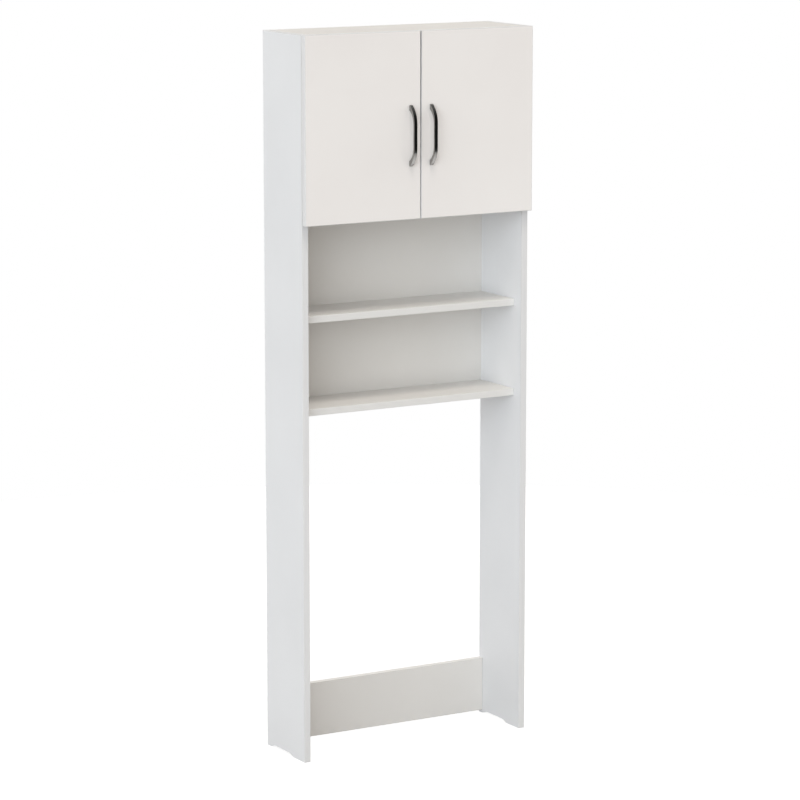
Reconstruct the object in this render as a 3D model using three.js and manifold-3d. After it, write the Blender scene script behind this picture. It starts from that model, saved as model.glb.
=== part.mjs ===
// Over-the-toilet storage rack: two tall side panels, a two-door cupboard on top,
// two open shelves below it and a rear stretcher near the floor.
// Millimetres, +Z up. The front faces -Y. The origin is on the floor, at the
// middle of the overall width and of the overall depth, handles included.

import * as THREE from 'three';
import { mergeVertices } from 'three/addons/utils/BufferGeometryUtils.js';
import Module from 'manifold-3d';

const wasm = await Module();
wasm.setup();

// ---------------------------------------------------------------- driving dimensions

const WIDTH = 600;
const HEIGHT = 1675;
const PANEL_DEPTH = 180;
const BOARD = 16;
const BACK_BOARD = 3;
const FIT = 0.3; // air between two pieces that touch
const PAST = 1; // how far a cutting tool runs past the face that it opens

// Undersides of the horizontal boards.
const LOWER_SHELF = 805;
const MIDDLE_SHELF = 1019;
const CABINET_FLOOR = 1249;
const INNER_SHELF = 1454;
const SHELF_SETBACK = 30;
const INNER_SHELF_SETBACK = 26;
const INNER_SHELF_AIR = 1; // round the loose shelf's ends and back

const STRETCHER_BOTTOM = 8;
const STRETCHER_HEIGHT = 130;

const DOOR_BOTTOM = 1247;
const DOOR_AIR = 2; // between a closed door and the edges behind it
const DOOR_SPLIT = 2.5; // between the two doors

// Bow handles, fixed by two screws each. The sweeps shape a bow's end: [out of the door, in from the tip].
const HANDLE = {
  length: 140, width: 9, reach: 24, centres: 128, fromSplit: 27, height: 1438, foot: 13, grip: 7, lip: 3,
};
const OUTER_SWEEP = { nearTip: [11, 8], nearGrip: 20, grip: 44 };
const INNER_SWEEP = { nearTip: [5, 16], nearGrip: 26, grip: 46 };
const HANDLE_SCREW = { radius: 2, headRadius: 4.2, headHeight: 2.2, grip: 5 };

// Side panel foot: a shallow relief between a long front foot and a short rear foot.
const FOOT = { front: 58, step: 20, lowRelief: 6, relief: 6.6, crest: 138, rear: 12 };
const FOOT_BENDS = { front: 8, crest: 14, rear: 8 };

// Concealed hinges, in plan: x inwards from the side panel's outer face, y back from its front edge.
const HINGE_HEIGHTS = [DOOR_BOTTOM + 80, HEIGHT - 80];
const CUP = { radius: 17.5, depth: 11.5, wall: 1.2, x: 21.5, rim: 0.8, rimRadius: 18.3 };
const CUP_WING = { x: 31, width: 12, length: 60 };
const ARM = { halfWidth: 7, sheet: 1.3, topX: 27.5, end: 62 };
const ARM_HEEL = [[20, ARM.end], [20, 12], [23, 2]];
const ARM_TOP = [[35.4, 0], [32.9, 10], [ARM.topX, 22], [ARM.topX, ARM.end]];
const ARM_CHANNEL_TOP = [[ARM.topX - ARM.sheet, 21.5], [31.5, 9.5], [34.1, -0.5], [44.4, -0.5], [44.4, -20]];
const LINK_PIVOT = [32, -7.1];
const LINK_TIP = [11, -6.7];
const LINK_BEND = [15.5, -12.7];
const LINK = { halfSheet: 1.1, pivotRadius: 2.8, tipRadius: 1.8, halfWidth: 4.6, steps: 10 };
const LINK_PIN_RADIUS = 1.2;
const NOSE_RADIUS = 3.4;
const PLATE = { sheet: 2, wingLength: 52, wingFrom: 30, wingTo: 44, blockFrom: 26, blockTo: 60 };
const PLATE_SCREW = { holeRadius: 2.2, fromFront: 37, fromMiddle: 16 };

// Cam fittings that pull each fixed board onto the side panels.
const CAM = { radius: 7.5, depth: 12, inset: 34, boltRadius: 3, boltReach: 10 };

const SHELF_PIN = { radius: 2.5, depth: 8, reach: 9, collarRadius: 4.5, collar: 1.5 };
const SHELF_PIN_INSET = { front: 22, rear: 34 };
const BRACKET = { leg: 40, width: 16, sheet: 2, holeRadius: 2.5, holeAlong: 26, x: 230 };
const BUMPER = { radius: 4.5, height: DOOR_AIR - 2 * FIT, inset: 10 };

// Flats round a circle, by the size of what it belongs to.
const FLATS = { bolt: 10, pin: 12, head: 16, cam: 18, cup: 28, bend: 8 };
const WELD = 1e-4; // vertices closer than this are one

// ---------------------------------------------------------------- derived places

const HALF = WIDTH / 2;
const INNER = HALF - BOARD;
const REAR = (PANEL_DEPTH + DOOR_AIR + BOARD + FIT + HANDLE.reach) / 2;
const FRONT = REAR - PANEL_DEPTH;
const BACK_FACE = REAR - BACK_BOARD;
const REBATE = BOARD / 2;
const DOOR_WIDTH = HALF - DOOR_SPLIT / 2;
const DOOR_INSIDE = -DOOR_AIR;
const DOOR_OUTSIDE = -DOOR_AIR - BOARD;
const HANDLE_X = HALF - HANDLE.fromSplit;
const ARM_CHANNEL = ARM.halfWidth - ARM.sheet;
const FIXED_BOARDS = {
  lower_shelf: { underside: LOWER_SHELF, setback: SHELF_SETBACK },
  middle_shelf: { underside: MIDDLE_SHELF, setback: SHELF_SETBACK },
  cabinet_floor: { underside: CABINET_FLOOR, setback: 0 },
  top_panel: { underside: HEIGHT - BOARD, setback: 0 },
};
const STRETCHER_Y = PANEL_DEPTH - BOARD / 2;
const STRETCHER_MID = STRETCHER_BOTTOM + STRETCHER_HEIGHT / 2;
const SHELF_PIN_YS = [INNER_SHELF_SETBACK + SHELF_PIN_INSET.front, PANEL_DEPTH - SHELF_PIN_INSET.rear];

// ---------------------------------------------------------------- materials

function finish(color, roughness, metalness = 0) {
  return new THREE.MeshStandardMaterial({ color, roughness, metalness });
}

const MELAMINE = finish(0xf0efec, 0.5);
const DOOR_WHITE = finish(0xf3f0eb, 0.45);
const HARDBOARD = finish(0xe9e6e1, 0.6);
const BLACK_CHROME = finish(0x26241f, 0.18, 1);
const HINGE_STEEL = finish(0xb9bbbd, 0.3, 1);
const ZINC = finish(0x9c9da0, 0.45, 1);
const NYLON = finish(0xe4e4e0, 0.5);
const RUBBER = finish(0xdcdcd8, 0.8);

// ---------------------------------------------------------------- solid helpers

function toManifold(geometry) {
  const bare = geometry.clone();
  bare.deleteAttribute('normal');
  bare.deleteAttribute('uv');
  const merged = mergeVertices(bare, WELD);
  return new wasm.Manifold(new wasm.Mesh({
    numProp: 3,
    vertProperties: new Float32Array(merged.attributes.position.array),
    triVerts: new Uint32Array(merged.index.array),
  }));
}

function toGeometry(manifold) {
  const mesh = manifold.getMesh();
  const geometry = new THREE.BufferGeometry();
  geometry.setAttribute('position', new THREE.BufferAttribute(mesh.vertProperties, 3));
  geometry.setIndex(new THREE.BufferAttribute(mesh.triVerts, 1));
  geometry.computeVertexNormals();
  return geometry;
}

function join(first, ...others) {
  return toGeometry(others.reduce((sum, next) => sum.add(toManifold(next)), toManifold(first)));
}

function cut(body, ...tools) {
  return toGeometry(tools.reduce((rest, tool) => rest.subtract(toManifold(tool)), toManifold(body)));
}

function box([x0, x1], [y0, y1], [z0, z1]) {
  const geometry = new THREE.BoxGeometry(x1 - x0, y1 - y0, z1 - z0);
  return geometry.translate((x0 + x1) / 2, (y0 + y1) / 2, (z0 + z1) / 2);
}

function rod(radius, from, to, flats) {
  const start = new THREE.Vector3(...from);
  const along = new THREE.Vector3(...to).sub(start);
  const geometry = new THREE.CylinderGeometry(radius, radius, along.length(), flats);
  geometry.translate(0, along.length() / 2, 0);
  const turn = new THREE.Quaternion().setFromUnitVectors(new THREE.Vector3(0, 1, 0), along.normalize());
  return geometry.applyQuaternion(turn).translate(...from);
}

// A shape drawn in plan (x, y), thick in z.
function planPlate(shape, z0, z1) {
  const settings = { depth: z1 - z0, bevelEnabled: false, curveSegments: FLATS.bend };
  return new THREE.ExtrudeGeometry(shape, settings).translate(0, 0, z0);
}

// A shape drawn in side view (y, z), thick in x.
function sidePlate(shape, x0, x1) {
  const turn = new THREE.Matrix4().makeBasis(
    new THREE.Vector3(0, 1, 0), new THREE.Vector3(0, 0, 1), new THREE.Vector3(1, 0, 0),
  );
  return planPlate(shape, x0, x1).applyMatrix4(turn);
}

function polygon(points) {
  return new THREE.Shape(points.map(([x, y]) => new THREE.Vector2(x, y)));
}

// The same solid in a mirror across x = 0, with its faces still pointing out.
function mirrored(geometry) {
  const flipped = mergeVertices(geometry.clone().scale(-1, 1, 1), WELD);
  const index = flipped.index.array;
  for (let i = 0; i < index.length; i += 3) {
    [index[i + 1], index[i + 2]] = [index[i + 2], index[i + 1]];
  }
  flipped.computeVertexNormals();
  return flipped;
}

// ---------------------------------------------------------------- boards of the carcass

function sidePanelOutline() {
  const stepEnd = FOOT.front + FOOT.step;
  const rearFoot = PANEL_DEPTH - FOOT.rear;
  const shape = new THREE.Shape();
  shape.moveTo(0, 0);
  shape.lineTo(FOOT.front, 0);
  shape.quadraticCurveTo(FOOT.front + FOOT_BENDS.front, FOOT.lowRelief, stepEnd, FOOT.lowRelief);
  shape.lineTo(FOOT.crest, FOOT.relief);
  shape.bezierCurveTo(FOOT.crest + FOOT_BENDS.crest, FOOT.relief, rearFoot - FOOT_BENDS.rear, 0, rearFoot, 0);
  shape.lineTo(PANEL_DEPTH, 0);
  shape.lineTo(PANEL_DEPTH, HEIGHT);
  shape.lineTo(0, HEIGHT);
  shape.closePath();
  return shape;
}

// Where the cam bolts enter a side panel: [y, z] of each bolt's axis.
function boltPlaces() {
  const shelves = Object.values(FIXED_BOARDS).map(({ underside, setback }) => (
    [(setback + PANEL_DEPTH - BACK_BOARD) / 2, underside + BOARD / 2]
  ));
  return [...shelves, [STRETCHER_Y, STRETCHER_MID]];
}

// In plan coordinates: x inwards from the outer face, y back from the front edge.
function sidePanel() {
  const inside = BOARD + PAST;
  const rebate = box(
    [BOARD - REBATE, inside],
    [PANEL_DEPTH - BACK_BOARD - FIT, PANEL_DEPTH + PAST],
    [LOWER_SHELF, HEIGHT + PAST],
  );
  const boltHoles = boltPlaces().map(([y, z]) => (
    rod(CAM.boltRadius + FIT, [BOARD - CAM.boltReach - FIT, y, z], [inside, y, z], FLATS.bolt)
  ));
  const z = INNER_SHELF - SHELF_PIN.radius - FIT;
  const pinHoles = SHELF_PIN_YS.map((y) => (
    rod(SHELF_PIN.radius + FIT, [BOARD - SHELF_PIN.depth - FIT, y, z], [inside, y, z], FLATS.pin)
  ));
  return cut(sidePlate(sidePanelOutline(), 0, BOARD), rebate, ...boltHoles, ...pinHoles);
}

// The hole for a cam and its bolt at one end of a board, in the board's own frame:
// the board's end is at x = 0 and the board lies on the +x side, its open face down.
function camHole() {
  return [
    rod(CAM.radius + FIT, [CAM.inset, 0, -PAST], [CAM.inset, 0, CAM.depth + FIT], FLATS.cam),
    rod(CAM.boltRadius + FIT, [-PAST, 0, BOARD / 2], [CAM.inset, 0, BOARD / 2], FLATS.bolt),
  ];
}

function camFitting() {
  return join(
    rod(CAM.radius, [CAM.inset, 0, 0], [CAM.inset, 0, CAM.depth], FLATS.cam),
    rod(CAM.boltRadius, [-CAM.boltReach, 0, BOARD / 2], [CAM.inset, 0, BOARD / 2], FLATS.bolt),
  );
}

// Cuts the cam holes into both ends of a board that spans between the side panels.
function withCamHoles(board, place) {
  const holes = camHole().map(place).flatMap((hole) => [hole, mirrored(hole)]);
  return cut(board, ...holes);
}

function camInShelf({ underside, setback }) {
  const y = FRONT + (setback + PANEL_DEPTH - BACK_BOARD) / 2;
  return (geometry) => geometry.translate(-INNER, y, underside);
}

function camInStretcher() {
  const lieBack = new THREE.Matrix4().makeRotationX(Math.PI / 2);
  return (geometry) => geometry.applyMatrix4(lieBack).translate(-INNER, REAR, STRETCHER_MID);
}

function fixedBoard({ underside, setback }) {
  const board = box(
    [-INNER + FIT, INNER - FIT],
    [FRONT + setback, BACK_FACE - FIT],
    [underside, underside + BOARD],
  );
  return withCamHoles(board, camInShelf({ underside, setback }));
}

function innerShelf() {
  return box(
    [-INNER + INNER_SHELF_AIR, INNER - INNER_SHELF_AIR],
    [FRONT + INNER_SHELF_SETBACK, BACK_FACE - INNER_SHELF_AIR],
    [INNER_SHELF, INNER_SHELF + BOARD],
  );
}

function rearStretcher() {
  const board = box(
    [-INNER + FIT, INNER - FIT],
    [REAR - BOARD, REAR],
    [STRETCHER_BOTTOM, STRETCHER_BOTTOM + STRETCHER_HEIGHT],
  );
  return withCamHoles(board, camInStretcher());
}

function backPanel() {
  const reach = INNER + REBATE - FIT;
  return box([-reach, reach], [BACK_FACE, REAR], [LOWER_SHELF + FIT, HEIGHT - FIT]);
}

// ---------------------------------------------------------------- doors and handles

// In plan coordinates of the door's own side.
function door() {
  const slab = box([0, DOOR_WIDTH], [DOOR_OUTSIDE, DOOR_INSIDE], [DOOR_BOTTOM, HEIGHT]);
  const inside = DOOR_INSIDE + PAST;
  const cupFloor = DOOR_INSIDE - CUP.depth - FIT;
  const cupHoles = HINGE_HEIGHTS.map((z) => (
    rod(CUP.radius + FIT, [CUP.x, cupFloor, z], [CUP.x, inside, z], FLATS.cup)
  ));
  const screwHoles = handleScrewHeights().map((z) => (
    rod(HANDLE_SCREW.radius + FIT, [HANDLE_X, DOOR_OUTSIDE - PAST, z], [HANDLE_X, inside, z], FLATS.pin)
  ));
  return cut(slab, ...cupHoles, ...screwHoles);
}

function handleScrewHeights() {
  return [HANDLE.height - HANDLE.centres / 2, HANDLE.height + HANDLE.centres / 2];
}

// Side view of the bow: y is how far it stands out of the door, z runs from its middle.
function bowOutline() {
  const tip = HANDLE.length / 2;
  const outer = HANDLE.reach;
  const inner = HANDLE.reach - HANDLE.grip;
  const [outerY, outerIn] = OUTER_SWEEP.nearTip;
  const [innerY, innerIn] = INNER_SWEEP.nearTip;
  const shape = new THREE.Shape();
  shape.moveTo(0, -tip);
  shape.lineTo(HANDLE.lip, -tip);
  shape.bezierCurveTo(
    outerY, outerIn - tip, outer, OUTER_SWEEP.nearGrip - tip, outer, OUTER_SWEEP.grip - tip,
  );
  shape.lineTo(outer, tip - OUTER_SWEEP.grip);
  shape.bezierCurveTo(
    outer, tip - OUTER_SWEEP.nearGrip, outerY, tip - outerIn, HANDLE.lip, tip,
  );
  shape.lineTo(0, tip);
  shape.lineTo(0, tip - HANDLE.foot);
  shape.bezierCurveTo(
    innerY, tip - innerIn, inner, tip - INNER_SWEEP.nearGrip, inner, tip - INNER_SWEEP.grip,
  );
  shape.lineTo(inner, INNER_SWEEP.grip - tip);
  shape.bezierCurveTo(
    inner, INNER_SWEEP.nearGrip - tip, innerY, innerIn - tip, 0, HANDLE.foot - tip,
  );
  shape.closePath();
  return shape;
}

function handle() {
  const bow = sidePlate(bowOutline(), -HANDLE.width / 2, HANDLE.width / 2);
  bow.applyMatrix4(new THREE.Matrix4().makeRotationZ(Math.PI));
  bow.translate(HANDLE_X, DOOR_OUTSIDE - FIT, HANDLE.height);
  const holes = handleScrewHeights().map((z) => rod(
    HANDLE_SCREW.radius + FIT,
    [HANDLE_X, DOOR_OUTSIDE - HANDLE_SCREW.grip - 2 * FIT, z],
    [HANDLE_X, DOOR_OUTSIDE + PAST, z],
    FLATS.pin,
  ));
  return cut(bow, ...holes);
}

function handleScrew(z) {
  const seat = DOOR_INSIDE + FIT;
  const top = seat + HANDLE_SCREW.headHeight;
  return join(
    rod(HANDLE_SCREW.radius, [HANDLE_X, DOOR_OUTSIDE - HANDLE_SCREW.grip, z], [HANDLE_X, top, z], FLATS.pin),
    rod(HANDLE_SCREW.headRadius, [HANDLE_X, seat, z], [HANDLE_X, top, z], FLATS.head),
  );
}

function bumper(z) {
  const x = DOOR_WIDTH - BUMPER.inset;
  const y = DOOR_INSIDE + FIT;
  return rod(BUMPER.radius, [x, y, z], [x, y + BUMPER.height, z], FLATS.head);
}

// ---------------------------------------------------------------- concealed hinges

function hingeCup(z) {
  const face = DOOR_INSIDE + FIT;
  const top = face + CUP.rim;
  const floor = DOOR_INSIDE - CUP.depth;
  const wing = CUP_WING.length / 2;
  const pressing = join(
    rod(CUP.radius, [CUP.x, floor, z], [CUP.x, top, z], FLATS.cup),
    rod(CUP.rimRadius, [CUP.x, face, z], [CUP.x, top, z], FLATS.cup),
    box(
      [CUP_WING.x - CUP_WING.width / 2, CUP_WING.x + CUP_WING.width / 2],
      [face, top],
      [z - wing, z + wing],
    ),
  );
  return cut(
    pressing,
    rod(CUP.radius - CUP.wall, [CUP.x, floor + CUP.wall, z], [CUP.x, top + PAST, z], FLATS.cup),
  );
}

// Plan outline of the arm: a straight heel along the side panel that rises to a rounded nose.
function armOutline() {
  const [px, py] = LINK_PIVOT;
  const shape = new THREE.Shape();
  shape.moveTo(...ARM_HEEL[0]);
  ARM_HEEL.slice(1).forEach((point) => shape.lineTo(...point));
  shape.lineTo(px - NOSE_RADIUS, py);
  shape.absarc(px, py, NOSE_RADIUS, Math.PI, 2 * Math.PI, false);
  ARM_TOP.forEach((point) => shape.lineTo(...point));
  shape.closePath();
  return shape;
}

// The channel inside the arm, open towards the side panel and open past the nose.
function armChannel() {
  const [under] = ARM_CHANNEL_TOP[0];
  const [, beyondNose] = ARM_CHANNEL_TOP.at(-1);
  const beyondEnd = ARM.end + PAST;
  const outline = [[0, beyondEnd], [under, beyondEnd], ...ARM_CHANNEL_TOP, [0, beyondNose]];
  return planPlate(polygon(outline), -ARM_CHANNEL, ARM_CHANNEL);
}

function hingeArm(z) {
  const [px, py] = LINK_PIVOT;
  const body = planPlate(armOutline(), -ARM.halfWidth, ARM.halfWidth);
  const reach = ARM.halfWidth + PAST;
  const pinHole = rod(LINK_PIN_RADIUS + FIT, [px, py, -reach], [px, py, reach], FLATS.pin);
  return cut(body, armChannel(), pinHole).translate(0, 0, z);
}

// A curved strap from the arm's nose into the cup, with a rolled eye at each end.
function hingeLink(z) {
  const [pivot, bend, tip] = [LINK_PIVOT, LINK_BEND, LINK_TIP].map(([x, y]) => new THREE.Vector2(x, y));
  const curve = new THREE.QuadraticBezierCurve(pivot, bend, tip);
  const stations = Array.from({ length: LINK.steps + 1 }, (_, i) => i / LINK.steps);
  const offset = (t, distance) => {
    const tangent = curve.getTangent(t);
    const point = curve.getPoint(t);
    return [point.x - tangent.y * distance, point.y + tangent.x * distance];
  };
  const outline = [
    ...stations.map((t) => offset(t, -LINK.halfSheet)),
    ...stations.toReversed().map((t) => offset(t, LINK.halfSheet)),
  ];
  const eye = (centre, radius, reach) => (
    rod(radius, [centre.x, centre.y, -reach], [centre.x, centre.y, reach], FLATS.head)
  );
  const strap = join(
    planPlate(polygon(outline), -LINK.halfWidth, LINK.halfWidth),
    eye(pivot, LINK.pivotRadius, LINK.halfWidth),
    eye(tip, LINK.tipRadius, LINK.halfWidth),
  );
  return cut(strap, eye(pivot, LINK_PIN_RADIUS + FIT, LINK.halfWidth + PAST)).translate(0, 0, z);
}

function linkPin(z) {
  const [px, py] = LINK_PIVOT;
  return rod(LINK_PIN_RADIUS, [px, py, z - ARM.halfWidth], [px, py, z + ARM.halfWidth], FLATS.pin);
}

// A cross-shaped plate on the side panel, with a block that fills the arm's channel.
function mountingPlate(z) {
  const wing = PLATE.wingLength / 2;
  const base = BOARD + FIT;
  const blockTop = ARM.topX - ARM.sheet - FIT;
  const blockHalf = ARM_CHANNEL - FIT;
  const screwHole = (rise) => rod(
    PLATE_SCREW.holeRadius,
    [BOARD, PLATE_SCREW.fromFront, rise],
    [base + PLATE.sheet + PAST, PLATE_SCREW.fromFront, rise],
    FLATS.pin,
  );
  const plate = join(
    box([base, base + PLATE.sheet], [PLATE.wingFrom, PLATE.wingTo], [-wing, wing]),
    box([base, blockTop], [PLATE.blockFrom, PLATE.blockTo], [-blockHalf, blockHalf]),
  );
  const holes = [screwHole(-PLATE_SCREW.fromMiddle), screwHole(PLATE_SCREW.fromMiddle)];
  return cut(plate, ...holes).translate(0, 0, z);
}

// ---------------------------------------------------------------- small fittings

function shelfPin(y) {
  const shelf = INNER_SHELF - FIT;
  const z = shelf - SHELF_PIN.radius;
  const face = BOARD + FIT;
  const collarEnd = face + SHELF_PIN.collar;
  const wide = 2 * SHELF_PIN.collarRadius;
  return join(
    rod(SHELF_PIN.radius, [BOARD - SHELF_PIN.depth, y, z], [BOARD + SHELF_PIN.reach, y, z], FLATS.pin),
    cut(
      rod(SHELF_PIN.collarRadius, [face, y, z], [collarEnd, y, z], FLATS.head),
      box([face - PAST, collarEnd + PAST], [y - wide, y + wide], [shelf, shelf + wide]),
    ),
  );
}

// An angle bracket in the corner under the top panel, for a screw into the wall.
function wallBracket(x) {
  const top = HEIGHT - BOARD - FIT;
  const back = BACK_FACE - FIT;
  const half = BRACKET.width / 2;
  const angle = join(
    box([x - half, x + half], [back - BRACKET.leg, back], [top - BRACKET.sheet, top]),
    box([x - half, x + half], [back - BRACKET.sheet, back], [top - BRACKET.leg, top]),
  );
  const holeY = back - BRACKET.holeAlong;
  const holeZ = top - BRACKET.holeAlong;
  const through = BRACKET.sheet + PAST;
  return cut(
    angle,
    rod(BRACKET.holeRadius, [x, holeY, top - through], [x, holeY, top + PAST], FLATS.head),
    rod(BRACKET.holeRadius, [x, back - through, holeZ], [x, back + PAST, holeZ], FLATS.head),
  );
}

// ---------------------------------------------------------------- assembly

function mesh(name, geometry, material) {
  const node = new THREE.Mesh(geometry, material);
  node.name = name;
  return node;
}

// The pieces of one side, drawn in that side's plan coordinates and set in place by its group.
function sideGroup(side) {
  const group = new THREE.Group();
  const outward = side === 'left' ? -1 : 1;
  group.position.set(outward * HALF, FRONT, 0);
  const add = (name, geometry, material) => {
    group.add(mesh(`${side}_${name}`, side === 'left' ? geometry : mirrored(geometry), material));
  };

  add('side_panel', sidePanel(), MELAMINE);
  add('door', door(), DOOR_WHITE);
  add('handle', handle(), BLACK_CHROME);

  ['lower', 'upper'].forEach((level, i) => {
    const z = HINGE_HEIGHTS[i];
    add(`${level}_hinge_cup`, hingeCup(z), HINGE_STEEL);
    add(`${level}_hinge_link`, hingeLink(z), HINGE_STEEL);
    add(`${level}_hinge_link_pin`, linkPin(z), HINGE_STEEL);
    add(`${level}_hinge_arm`, hingeArm(z), HINGE_STEEL);
    add(`${level}_hinge_plate`, mountingPlate(z), HINGE_STEEL);
    add(`${level}_handle_screw`, handleScrew(handleScrewHeights()[i]), ZINC);
    add(`${level}_door_bumper`, bumper([CABINET_FLOOR + BOARD / 2, HEIGHT - BOARD / 2][i]), RUBBER);
  });
  ['front', 'rear'].forEach((place, i) => {
    add(`${place}_shelf_pin`, shelfPin(SHELF_PIN_YS[i]), NYLON);
  });
  return group;
}

function camPair(name, place) {
  const left = place(camFitting());
  return [
    mesh(`${name}_left_cam`, left, ZINC),
    mesh(`${name}_right_cam`, mirrored(left), ZINC),
  ];
}

const rack = new THREE.Group();
rack.add(sideGroup('left'), sideGroup('right'));
for (const [name, board] of Object.entries(FIXED_BOARDS)) {
  rack.add(mesh(name, fixedBoard(board), MELAMINE), ...camPair(name, camInShelf(board)));
}
rack.add(
  mesh('inner_shelf', innerShelf(), MELAMINE),
  mesh('rear_stretcher', rearStretcher(), MELAMINE),
  ...camPair('rear_stretcher', camInStretcher()),
  mesh('back_panel', backPanel(), HARDBOARD),
  mesh('left_wall_bracket', wallBracket(-BRACKET.x), ZINC),
  mesh('right_wall_bracket', wallBracket(BRACKET.x), ZINC),
);

export default rack;
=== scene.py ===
"""The looks of an over-the-toilet storage rack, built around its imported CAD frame.

Metres, in the frame's own axes: +Z up, the doors face -Y, the origin is on the floor.
Every board, door and fitting takes its place and size from a CAD node. The boards are clean copies
of the CAD solids with eased edges and edge banding. Handles, hinge cups, screws, cams and bumpers
are built finer than in the CAD, and the other fittings are CAD solids with eased edges.
"""

import math
import random

import bmesh
import bpy
from mathutils import Matrix, Vector


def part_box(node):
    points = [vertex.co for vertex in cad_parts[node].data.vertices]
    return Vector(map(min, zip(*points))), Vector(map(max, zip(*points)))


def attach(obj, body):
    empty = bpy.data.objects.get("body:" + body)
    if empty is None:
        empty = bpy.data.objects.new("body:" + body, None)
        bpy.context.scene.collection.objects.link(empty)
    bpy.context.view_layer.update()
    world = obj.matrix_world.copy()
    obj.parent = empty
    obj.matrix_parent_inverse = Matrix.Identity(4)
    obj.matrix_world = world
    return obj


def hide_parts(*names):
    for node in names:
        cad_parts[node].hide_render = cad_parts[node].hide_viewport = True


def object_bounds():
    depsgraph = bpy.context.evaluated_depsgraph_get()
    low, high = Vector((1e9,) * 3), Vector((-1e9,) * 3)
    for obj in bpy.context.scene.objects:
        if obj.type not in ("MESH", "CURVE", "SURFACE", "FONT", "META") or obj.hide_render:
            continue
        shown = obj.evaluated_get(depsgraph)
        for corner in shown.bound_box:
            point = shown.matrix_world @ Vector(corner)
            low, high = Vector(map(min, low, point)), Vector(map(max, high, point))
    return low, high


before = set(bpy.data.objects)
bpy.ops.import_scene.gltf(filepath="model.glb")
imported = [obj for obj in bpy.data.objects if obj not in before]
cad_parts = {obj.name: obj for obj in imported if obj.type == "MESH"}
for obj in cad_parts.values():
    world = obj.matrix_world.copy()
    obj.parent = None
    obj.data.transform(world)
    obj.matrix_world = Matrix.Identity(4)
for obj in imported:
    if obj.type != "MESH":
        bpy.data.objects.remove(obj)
cad_low, cad_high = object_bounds()

MM = 0.001
SIDES = ("left", "right")
LEVELS = ("lower", "upper")
FIXED_BOARDS = ("lower_shelf", "middle_shelf", "cabinet_floor", "top_panel")
X, Y, Z = Vector((1, 0, 0)), Vector((0, 1, 0)), Vector((0, 0, 1))

# ------------------------------------------------------------------------------------------ camera

CAMERA_PLACE = (-4.0026, -6.8041, 2.2234)
CAMERA_LENS = 155.14
CAMERA_TURN = 30.44  # degrees to the right of +Y
CAMERA_DIP = 10.13  # degrees below the horizon


def make_camera():
    data = bpy.data.cameras.new("camera")
    data.sensor_width = 36
    data.lens = CAMERA_LENS
    data.clip_end = 100
    camera = bpy.data.objects.new("camera", data)
    bpy.context.scene.collection.objects.link(camera)
    camera.location = CAMERA_PLACE
    camera.rotation_euler = (math.radians(90 - CAMERA_DIP), 0, math.radians(-CAMERA_TURN))
    bpy.context.scene.camera = camera


# ----------------------------------------------------------------------------------- node helpers

NOISE_RANGE = (0.3, 0.7)  # where nearly all values of a noise lie
MIX_FIRST, MIX_SECOND, MIX_RESULT = 6, 7, 2  # the colour sockets of a mix node


class Nodes:
    """A small builder for one node tree."""

    def __init__(self, tree):
        self.tree = tree
        tree.nodes.clear()

    def add(self, kind, settings=None, **sockets):
        node = self.tree.nodes.new(kind)
        for key, value in (settings or {}).items():
            setattr(node, key, value)
        for key, value in sockets.items():
            self.put(node.inputs[key.replace("_", " ")], value)
        return node

    def put(self, socket, value):
        if isinstance(value, bpy.types.NodeSocket):
            self.tree.links.new(value, socket)
        else:
            socket.default_value = value

    def math(self, operation, first, second):
        node = self.add("ShaderNodeMath", {"operation": operation})
        self.put(node.inputs[0], first)
        self.put(node.inputs[1], second)
        return node.outputs[0]

    def blend(self, factor, first, second):
        node = self.add("ShaderNodeMix", {"data_type": "RGBA"}, Factor=factor)
        self.put(node.inputs[MIX_FIRST], first)
        self.put(node.inputs[MIX_SECOND], second)
        return node.outputs[MIX_RESULT]

    def spread(self, value, low, high, to_low, to_high):
        return self.add(
            "ShaderNodeMapRange",
            Value=value, From_Min=low, From_Max=high, To_Min=to_low, To_Max=to_high,
        ).outputs[0]

    def within(self, noise, low, high):
        """Noise as a number that runs from low to high over most of its range."""
        return self.spread(noise, *NOISE_RANGE, low, high)

    def noise(self, place, scale, detail, roughness=0.5):
        return self.add(
            "ShaderNodeTexNoise",
            Vector=place, Scale=scale, Detail=detail, Roughness=roughness,
        ).outputs["Fac"]

    def stretched(self, place, scale):
        return self.add("ShaderNodeMapping", Vector=place, Scale=scale).outputs[0]

    def bump(self, height, distance, normal=None):
        node = self.add("ShaderNodeBump", Height=height, Distance=distance)
        if normal is not None:
            self.put(node.inputs["Normal"], normal)
        return node.outputs[0]


def rgb(red, green, blue):
    """Linear colour from 0 to 255 sRGB values."""
    def linear(value):
        share = value / 255
        return share / 12.92 if share <= 0.04045 else ((share + 0.055) / 1.055) ** 2.4

    return (linear(red), linear(green), linear(blue), 1.0)


def new_material(name, preview):
    made = bpy.data.materials.new(name)
    made.use_nodes = True
    made.diffuse_color = preview
    kit = Nodes(made.node_tree)
    place = kit.add("ShaderNodeTexCoord").outputs["Object"]
    shader = kit.add("ShaderNodeBsdfPrincipled")
    output = kit.add("ShaderNodeOutputMaterial")
    kit.tree.links.new(shader.outputs[0], output.inputs["Surface"])
    return made, kit, place, shader


# -------------------------------------------------------------------------------------- materials


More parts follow.
